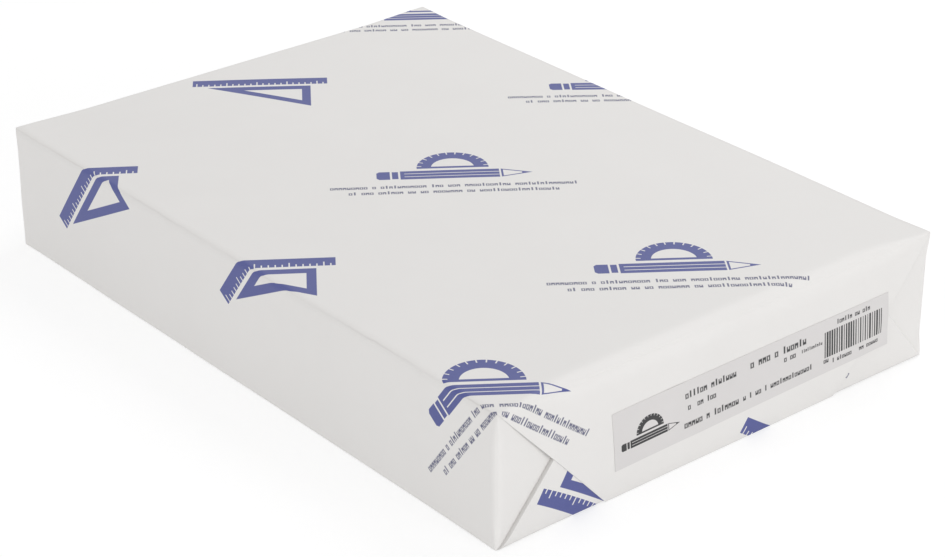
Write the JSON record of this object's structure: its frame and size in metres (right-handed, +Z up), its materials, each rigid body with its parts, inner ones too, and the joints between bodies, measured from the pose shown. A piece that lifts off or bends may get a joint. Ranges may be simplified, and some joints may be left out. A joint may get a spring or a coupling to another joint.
{
  "type": "sealed pack of drawing paper",
  "caption": "Flat box-shaped ream of A4 drawing paper, sealed in a white folded wrapper with envelope-folded ends and a paper label stuck on one end.",
  "frame": {"origin": "middle of the pack's outline, on the plane that its underside rests on", "axes": "+X across the pack, +Y along its length with the labelled end facing -Y, +Z up through the stack of sheets"},
  "size_m": [0.211, 0.2999, 0.0523],
  "materials": {
    "wrapper_paper": "matt white wrapping paper with a sparse indigo print",
    "label_paper": "matt pale grey label paper with black and indigo marks"
  },
  "bodies": {
    "root": {"wrapped_pack": "wrapper_paper", "label": "label_paper"}
  },
  "joints": []
}
